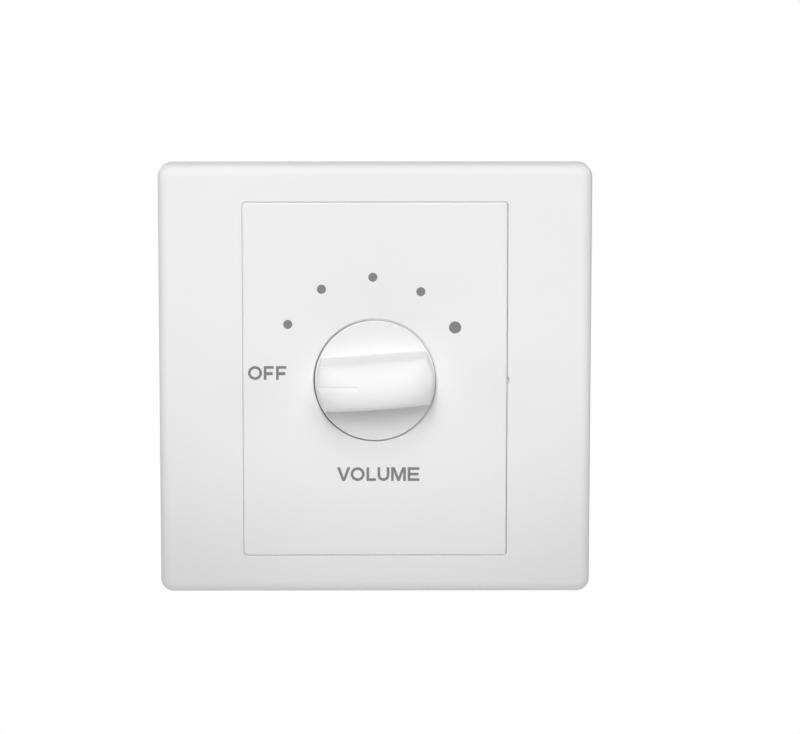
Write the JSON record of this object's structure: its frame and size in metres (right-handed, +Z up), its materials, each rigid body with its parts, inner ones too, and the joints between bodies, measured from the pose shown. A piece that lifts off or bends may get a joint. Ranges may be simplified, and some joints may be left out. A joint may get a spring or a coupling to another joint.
{
  "type": "wall volume controller",
  "caption": "Square white wall plate with a stepped volume knob in an upright insert panel, with switch, tapped transformer and terminals behind it.",
  "frame": {"origin": "on the wall surface, midway between the two wall-box screw slots, on the knob's axis", "axes": "+X to the right and +Z up as the plate hangs, +Y into the wall; the front faces -Y"},
  "size_m": [0.086, 0.0569, 0.086],
  "materials": {
    "white_abs": "satin white moulded plastic",
    "knob_abs": "satin white moulded plastic, slightly glossier",
    "carrier_plastic": "matt white moulded plastic",
    "spring_steel": "hardened spring steel",
    "plated_steel": "zinc plated steel",
    "screw_steel": "zinc plated steel",
    "bracket_steel": "rolled tinplate",
    "core_steel": "varnished silicon-steel laminations",
    "contact_brass": "stamped brass",
    "tinned_pin": "tinned brass wire",
    "copper_wire": "enamelled copper wire",
    "solder": "bright solder",
    "black_moulding": "black moulded plastic",
    "phenolic": "brown laminated phenolic",
    "board_laminate": "green masked glass-fibre laminate",
    "yellow_tape": "yellow polyester tape",
    "block_plastic": "green moulded plastic"
  },
  "bodies": {
    "wall_unit": {"insert_panel": "white_abs", "carrier": "carrier_plastic", "switch_housing": "black_moulding", "stop_ring": "plated_steel", "switch_base": "phenolic", "common_ring": "contact_brass", "switch_pins": "tinned_pin", "lock_washer": "plated_steel", "bushing_nut": "plated_steel", "circuit_board": "board_laminate", "board_screws": "screw_steel", "solder_joints": "solder", "core_e_stack": "core_steel", "core_i_stack": "core_steel", "bobbin": "black_moulding", "winding": "copper_wire", "winding_tape": "yellow_tape", "transformer_pins": "tinned_pin", "core_bracket": "bracket_steel", "bracket_screws": "screw_steel", "bracket_nuts": "screw_steel", "terminal_block": "block_plastic", "wire_clamps": "contact_brass", "clamp_screws": "screw_steel"},
    "control": {"knob": "knob_abs", "knob_clip": "spring_steel", "switch_spindle": "plated_steel", "detent_balls": "spring_steel", "detent_spring": "spring_steel", "wiper_contact": "contact_brass"},
    "cover": {"cover_frame": "white_abs"}
  },
  "joints": [
    {"name": "knob_turn", "type": "hinge", "parent": "wall_unit", "child": "control", "pos_m": [0, 0, 0], "axis": [0, 1, 0], "range_deg": [0, 150]},
    {"name": "cover_pull", "type": "slide", "parent": "wall_unit", "child": "cover", "axis": [0, -1, 0], "range_m": [0, 0.025]}
  ]
}
